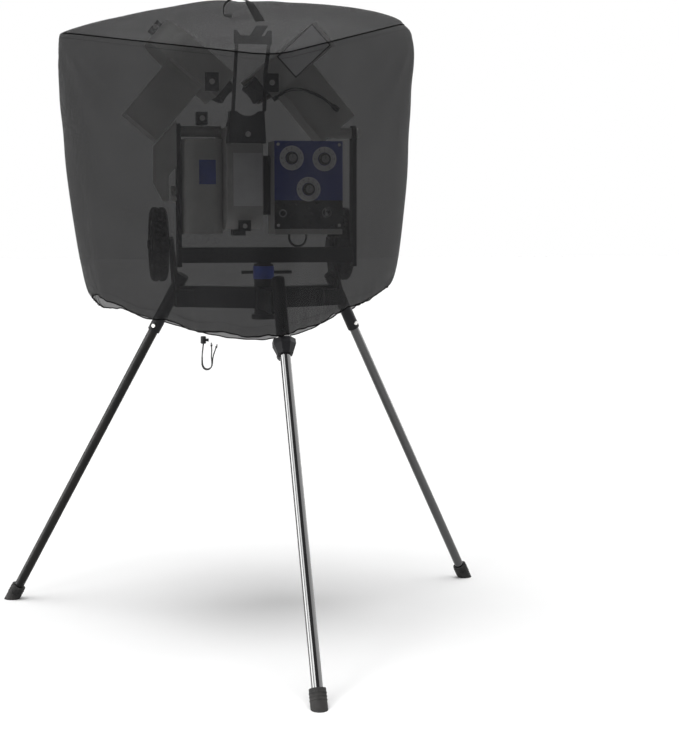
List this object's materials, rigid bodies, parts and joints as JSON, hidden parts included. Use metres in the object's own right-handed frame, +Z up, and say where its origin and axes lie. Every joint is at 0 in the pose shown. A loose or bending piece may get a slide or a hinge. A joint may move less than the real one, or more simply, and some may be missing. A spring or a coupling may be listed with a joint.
{
  "type": "baseball pitching machine",
  "caption": "Pitching machine with throwing wheels set round a ball path, on a swivelling yoke and a tripod, under a see-through fabric cover.",
  "frame": {"origin": "on the floor, in the middle of the whole footprint", "axes": "+Z up, +Y the way the ball is thrown, +X to the operator's right"},
  "size_m": [1.386, 1.2054, 1.652],
  "materials": {
    "black_steel": "satin black powder coat on steel",
    "black_tube": "gloss black enamel on steel tube",
    "rubber": "moulded black rubber",
    "zinc_fastener": "zinc plated",
    "white_lever": "white moulded handle",
    "black_plastic": "fine textured black",
    "blue_sleeve": "blue plastic sleeve",
    "tyre": "solid black tyre",
    "wheel_rim": "black moulded rim",
    "grey_housing": "light grey enamel on sheet metal",
    "blue_panel": "blue and black enamelled panel",
    "black_bracket": "black powder coat",
    "throwing_rubber": "dark urethane tread",
    "wheel_hub": "machined",
    "motor_steel": "black enamel",
    "cable": "black jacket",
    "steel_switch": "chromed",
    "cover_fabric": "dark grey woven fabric, see-through",
    "webbing": "black woven webbing",
    "drawcord": "black braided elastic"
  },
  "bodies": {
    "tripod_base": {"hub_column": "black_steel", "column_sleeve": "blue_sleeve", "base_arms": "black_steel", "leg_sockets": "black_steel", "clamp_screws": "zinc_fastener", "front_collar": "black_steel", "axle_carriers": "black_steel"},
    "leg_front": {"leg_tube_front": "black_tube", "foot_front": "rubber"},
    "leg_left": {"leg_tube_left": "black_tube", "foot_left": "rubber"},
    "leg_right": {"leg_tube_right": "black_tube", "foot_right": "rubber"},
    "leg_clamp": {"collar_knob": "black_plastic"},
    "transport_wheel_left": {"tyre_left": "tyre", "rim_left": "wheel_rim"},
    "transport_wheel_right": {"tyre_right": "tyre", "rim_right": "wheel_rim"},
    "swivel_clamp": {"swivel_lock": "black_steel"},
    "yoke": {"yoke_beam": "black_steel", "upright_left": "black_steel", "upright_right": "black_steel", "pivot_pins": "zinc_fastener"},
    "tilt_clamp": {"tilt_lever": "white_lever"},
    "head": {"guard_left": "grey_housing", "guard_right": "grey_housing", "guard_bottom": "grey_housing", "motor_covers_upper": "grey_housing", "motor_cover_lower": "grey_housing", "motors": "motor_steel", "pivot_arms": "grey_housing", "side_skirt": "grey_housing", "control_box": "grey_housing", "control_panel": "blue_panel", "feed_cup": "black_bracket", "feed_frame": "black_bracket", "head_brackets": "black_bracket", "head_bolts": "zinc_fastener", "panel_cable": "cable", "motor_cable": "cable", "cable_glands": "black_plastic"},
    "thrower_left": {"wheel_left": "throwing_rubber", "wheel_hub_left": "wheel_hub"},
    "thrower_right": {"wheel_right": "throwing_rubber", "wheel_hub_right": "wheel_hub"},
    "thrower_bottom": {"wheel_bottom": "throwing_rubber", "wheel_hub_bottom": "wheel_hub"},
    "knob_left": {"dial_knob_left": "black_plastic"},
    "knob_right": {"dial_knob_right": "black_plastic"},
    "knob_lower": {"dial_knob_lower": "black_plastic"},
    "switch": {"power_switch": "steel_switch"},
    "breaker": {"breaker_button": "black_plastic"},
    "cover": {"cover_top": "cover_fabric", "cover_front_left": "cover_fabric", "cover_front_right": "cover_fabric", "cover_rear": "cover_fabric", "cover_strap": "webbing", "cord_lock": "black_plastic", "drawcord_a": "drawcord", "drawcord_b": "drawcord"}
  },
  "joints": [
    {"name": "leg_front_slide", "type": "slide", "parent": "tripod_base", "child": "leg_front", "axis": [0, -0.5042, -0.8636], "range_m": [0, 0.15]},
    {"name": "leg_left_slide", "type": "slide", "parent": "tripod_base", "child": "leg_left", "axis": [-0.4366, 0.2521, -0.8636], "range_m": [0, 0.15]},
    {"name": "leg_right_slide", "type": "slide", "parent": "tripod_base", "child": "leg_right", "axis": [0.4366, 0.2521, -0.8636], "range_m": [0, 0.15]},
    {"name": "leg_clamp_turn", "type": "hinge", "parent": "tripod_base", "child": "leg_clamp", "pos_m": [0, -0.13389, 0.76437], "axis": [0, 0.8636, -0.5042], "range_deg": [-180, 180]},
    {"name": "transport_wheel_left_spin", "type": "hinge", "parent": "tripod_base", "child": "transport_wheel_left", "pos_m": [-0.256, 0.42488, 1.01], "axis": [1, 0, 0], "continuous": true},
    {"name": "transport_wheel_right_spin", "type": "hinge", "parent": "tripod_base", "child": "transport_wheel_right", "pos_m": [0.256, 0.42488, 1.01], "axis": [1, 0, 0], "continuous": true},
    {"name": "swivel_clamp_turn", "type": "hinge", "parent": "tripod_base", "child": "swivel_clamp", "pos_m": [0, 0.23488, 0.938], "axis": [0, 1, 0], "range_deg": [-32, 20]},
    {"name": "yoke_swivel", "type": "hinge", "parent": "tripod_base", "child": "yoke", "pos_m": [0, 0.19488, 0.965], "axis": [0, 0, 1], "range_deg": [-60, 60]},
    {"name": "head_tilt", "type": "hinge", "parent": "yoke", "child": "head", "pos_m": [0, 0.19488, 1.305], "axis": [1, 0, 0], "range_deg": [-20, 20]},
    {"name": "tilt_clamp_turn", "type": "hinge", "parent": "yoke", "child": "tilt_clamp", "pos_m": [-0.235, 0.19488, 1.153], "axis": [1, 0, 0], "range_deg": [-40, 40]},
    {"name": "thrower_left_spin", "type": "hinge", "parent": "head", "child": "thrower_left", "pos_m": [-0.17684, 0.19488, 1.46785], "axis": [-0.6428, 0, -0.766], "continuous": true},
    {"name": "thrower_right_spin", "type": "hinge", "parent": "head", "child": "thrower_right", "pos_m": [0.04684, 0.19488, 1.46785], "axis": [-0.6428, 0, 0.766], "continuous": true},
    {"name": "thrower_bottom_spin", "type": "hinge", "parent": "head", "child": "thrower_bottom", "pos_m": [-0.065, 0.19488, 1.228], "axis": [1, 0, 0], "continuous": true},
    {"name": "knob_left_turn", "type": "hinge", "parent": "head", "child": "knob_left", "pos_m": [0.047, 0.02488, 1.232], "axis": [0, 1, 0], "range_deg": [-150, 150]},
    {"name": "knob_right_turn", "type": "hinge", "parent": "head", "child": "knob_right", "pos_m": [0.131, 0.02488, 1.23], "axis": [0, 1, 0], "range_deg": [-150, 150]},
    {"name": "knob_lower_turn", "type": "hinge", "parent": "head", "child": "knob_lower", "pos_m": [0.09, 0.02488, 1.154], "axis": [0, 1, 0], "range_deg": [-150, 150]},
    {"name": "switch_throw", "type": "hinge", "parent": "head", "child": "switch", "pos_m": [0.137, 0.02788, 1.095], "axis": [1, 0, 0], "range_deg": [0, 39]},
    {"name": "breaker_press", "type": "slide", "parent": "head", "child": "breaker", "axis": [0, 1, 0], "range_m": [0, 0.004], "stiffness_N_per_m": 300, "springref_m": -0.002},
    {"name": "cover_lift", "type": "slide", "parent": "tripod_base", "child": "cover", "axis": [0, 0, 1], "range_m": [0, 0.75], "deforming": ["cover_top", "cover_front_left", "cover_front_right", "cover_rear"]}
  ]
}
